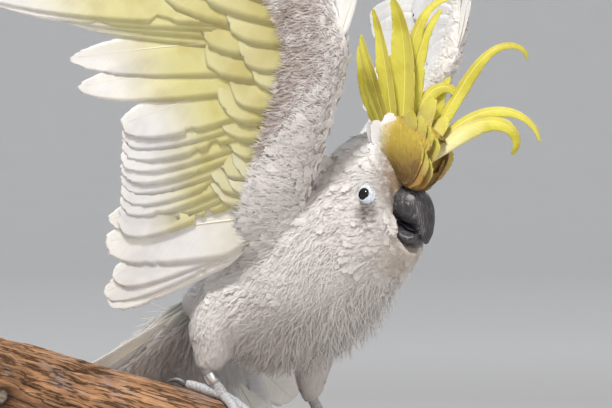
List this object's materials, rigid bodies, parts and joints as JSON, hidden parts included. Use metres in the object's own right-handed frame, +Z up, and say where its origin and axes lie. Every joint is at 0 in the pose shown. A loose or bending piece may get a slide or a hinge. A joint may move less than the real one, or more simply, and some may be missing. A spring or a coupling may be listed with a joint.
{
  "type": "bird display model",
  "caption": "Life-size still display model of a white cockatoo with raised wings and crest, perched on a cut branch held by a flat stand.",
  "frame": {"origin": "centre of the display base's underside", "axes": "+X the way the bird faces, +Y the bird's left, +Z up, away from the surface that the base rests on"},
  "size_m": [0.3961, 0.5153, 0.6708],
  "materials": {
    "body_feathers": "soft matte white plumage",
    "flight_feathers": "satin white vanes, yellow towards their roots",
    "crest_feathers": "satin lemon-yellow vanes",
    "eyes": "polished dark",
    "bill": "powdery dark grey horn",
    "claws": "dark grey horn",
    "feet": "dry scaly grey skin",
    "leg_band": "worn plain metal",
    "bark": "rough ridged bark",
    "stand_wood": "satin dark stain",
    "stand_steel": "satin"
  },
  "bodies": {
    "root": {"torso": "body_feathers", "neck": "body_feathers", "head": "body_feathers", "eye_right": "eyes", "eye_left": "eyes", "bill_upper": "bill", "bill_lower": "bill", "tongue": "bill", "crest": "crest_feathers", "wing_right": "flight_feathers", "wing_left": "flight_feathers", "tail": "flight_feathers", "thigh_right": "body_feathers", "thigh_left": "body_feathers", "foot_right": "feet", "foot_left": "feet", "claw_right_1": "claws", "claw_right_2": "claws", "claw_right_3": "claws", "claw_right_4": "claws", "claw_left_1": "claws", "claw_left_2": "claws", "claw_left_3": "claws", "claw_left_4": "claws", "leg_band": "leg_band", "perch_branch": "bark", "stand_base": "stand_wood", "stand_rod_1": "stand_steel", "stand_rod_2": "stand_steel"}
  },
  "joints": []
}
